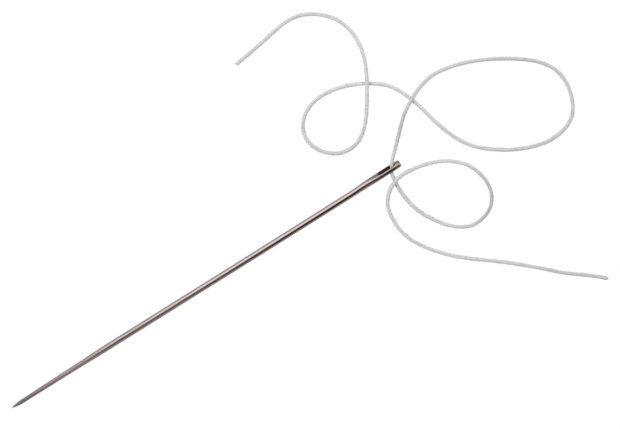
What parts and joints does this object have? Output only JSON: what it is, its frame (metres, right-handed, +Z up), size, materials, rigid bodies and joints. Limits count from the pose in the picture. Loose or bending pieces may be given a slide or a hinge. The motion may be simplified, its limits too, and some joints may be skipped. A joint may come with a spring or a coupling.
{
  "type": "sewing needle",
  "caption": "Steel hand sewing needle with a long slotted eye, lying flat with a loose twisted thread passed through the eye.",
  "frame": {"origin": "on the table, under the middle of the needle's length and under its shank's centre line", "axes": "+X runs along the needle from its point to its eye, +Z is up from the table, and +Y is to the side on which the far rail of the eye is lower"},
  "size_m": [0.0843, 0.0512, 0.0011],
  "materials": {
    "needle_steel": "polished nickel-plated steel, duller where the point is ground",
    "thread_cotton": "white twisted cotton"
  },
  "bodies": {
    "root": {"needle": "needle_steel", "thread": "thread_cotton"}
  },
  "joints": []
}
